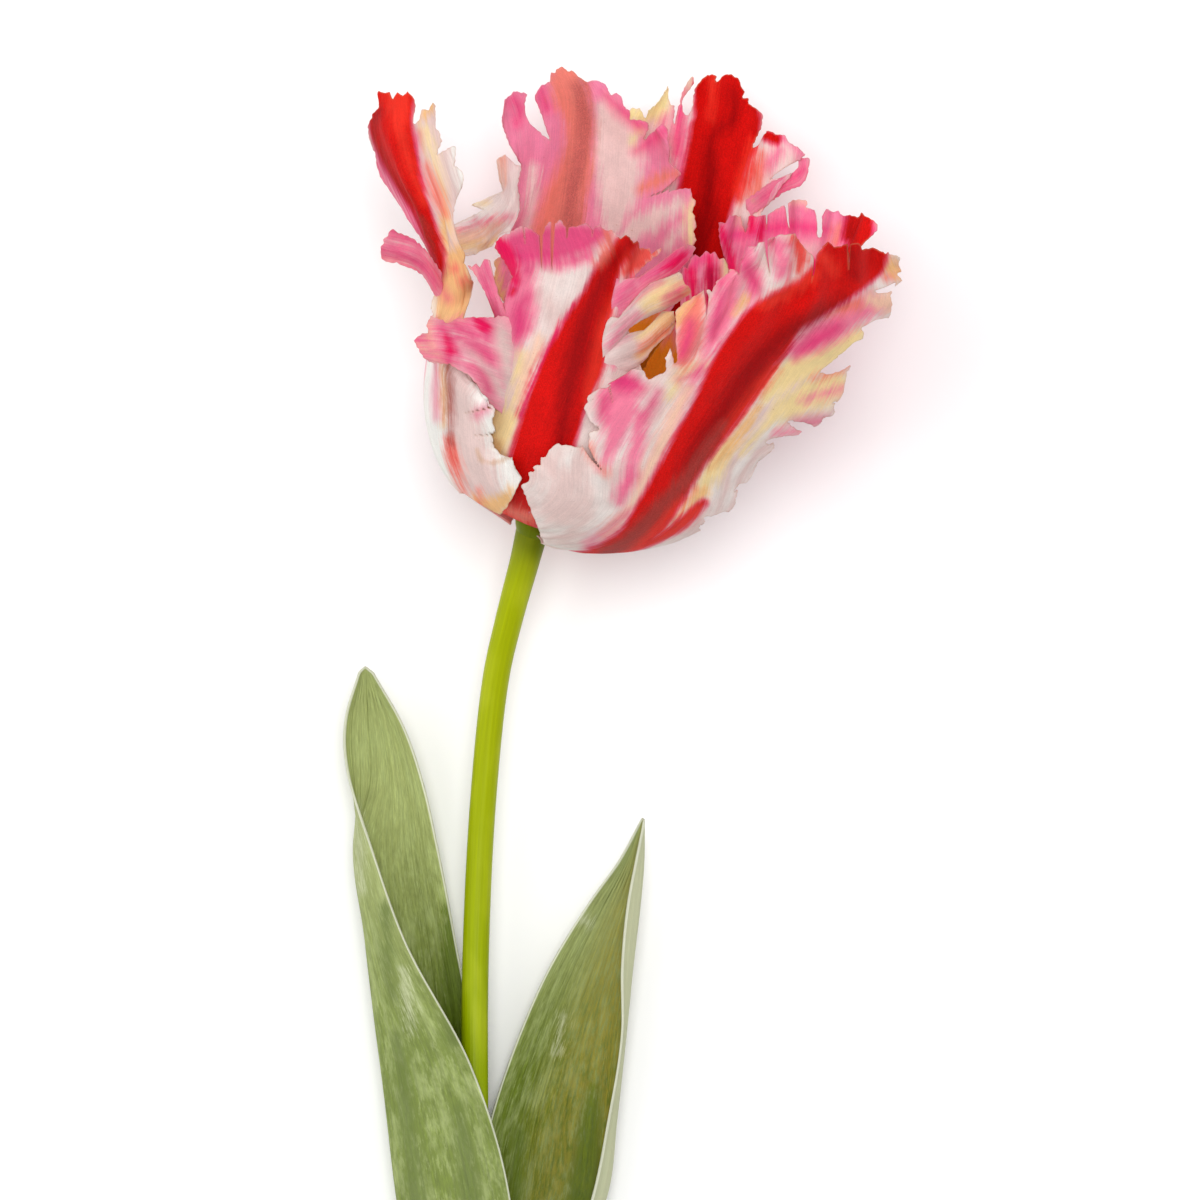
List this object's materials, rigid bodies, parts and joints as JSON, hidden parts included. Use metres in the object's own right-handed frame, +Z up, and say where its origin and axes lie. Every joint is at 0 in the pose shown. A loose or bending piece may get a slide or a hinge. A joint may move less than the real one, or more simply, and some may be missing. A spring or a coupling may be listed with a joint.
{
  "type": "parrot tulip",
  "caption": "Cut parrot tulip lying on its back: a bent stem with clasping leaves and an open cup of fringed, flamed petals round the pistil and stamens.",
  "frame": {"origin": "centre of the underside of the flower's box, on the surface it lies on", "axes": "+Y along the flower from the cut end of the stem towards the bloom, +Z up from the surface"},
  "size_m": [0.1242, 0.3688, 0.103],
  "materials": {
    "stem": "smooth, slightly waxy yellow-green stalk",
    "leaf": "satin, with fine parallel veins and a bluish bloom",
    "petal_front": "satin petal, pink and white with a red flame",
    "petal_right_front": "satin petal, cream and pink with a broad red flame",
    "petal_left": "satin petal, white and cream with a narrow red flame",
    "petal_left_back": "satin petal, pink and white with a salmon stripe",
    "petal_right_back": "satin petal, saturated red with pink edges",
    "petal_right_inner": "satin petal, magenta and pink",
    "pistil": "smooth yellow-green ovary with a paler stigma",
    "stamen": "dusty dark purple anthers on pale filaments"
  },
  "bodies": {
    "root": {"stem": "stem", "leaf_left": "leaf", "leaf_right": "leaf", "petal_front": "petal_front", "petal_right_front": "petal_right_front", "petal_left": "petal_left", "petal_left_back": "petal_left_back", "petal_right_back": "petal_right_back", "petal_right_inner": "petal_right_inner", "pistil": "pistil", "stamen_1": "stamen", "stamen_2": "stamen", "stamen_3": "stamen", "stamen_4": "stamen", "stamen_5": "stamen", "stamen_6": "stamen"}
  },
  "joints": []
}
